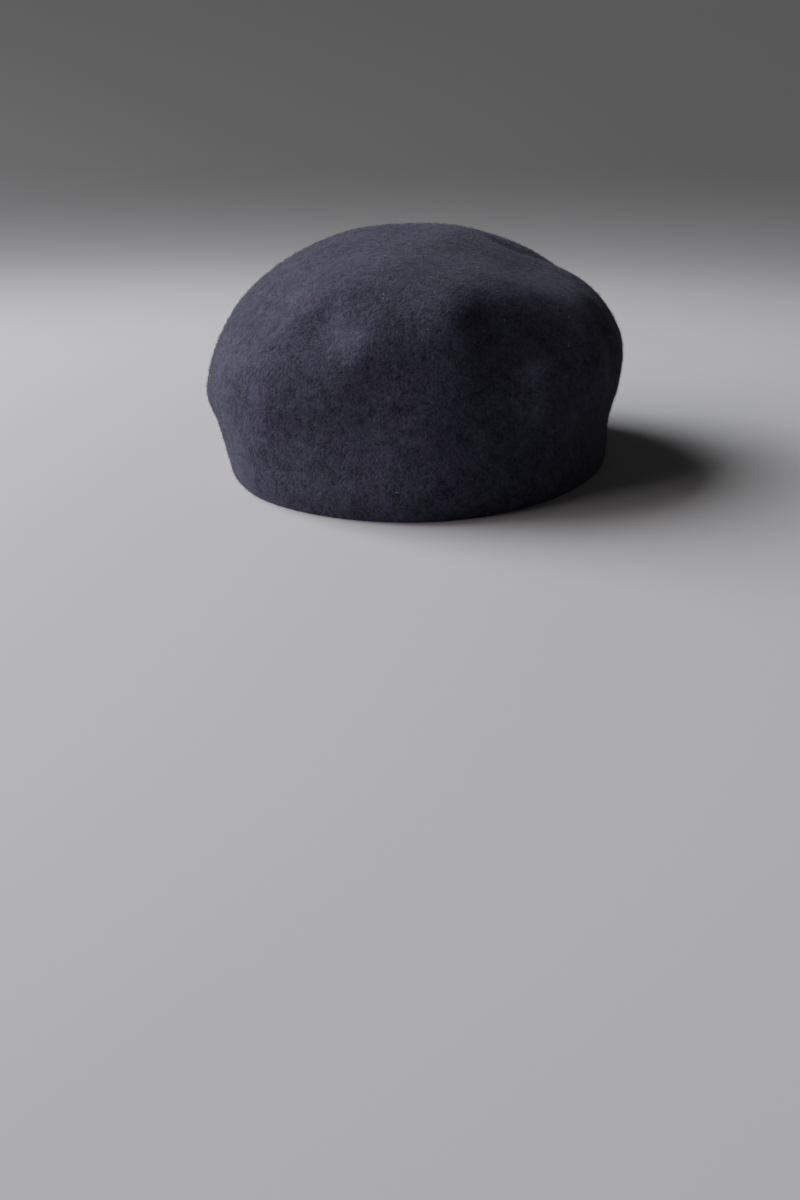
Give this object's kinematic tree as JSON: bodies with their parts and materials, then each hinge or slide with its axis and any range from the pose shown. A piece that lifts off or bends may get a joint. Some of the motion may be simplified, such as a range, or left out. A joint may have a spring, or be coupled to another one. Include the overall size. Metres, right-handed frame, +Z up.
{
  "type": "flat cap",
  "caption": "Blocked wool felt cap: a low crown that slopes up to the back and overhangs at the sides, a short peak formed in the same felt, a plain cut edge, hollow and open below.",
  "frame": {"origin": "on the plane of the cut edge, in the middle of the cap's width and length", "axes": "+Z up; -Y to the front, the way the peak points; +X to the wearer's left"},
  "size_m": [0.1946, 0.2384, 0.105],
  "materials": {
    "felt": "dark navy wool felt with a fine, slightly mottled nap"
  },
  "bodies": {
    "root": {"felt_cap": "felt"}
  },
  "joints": []
}
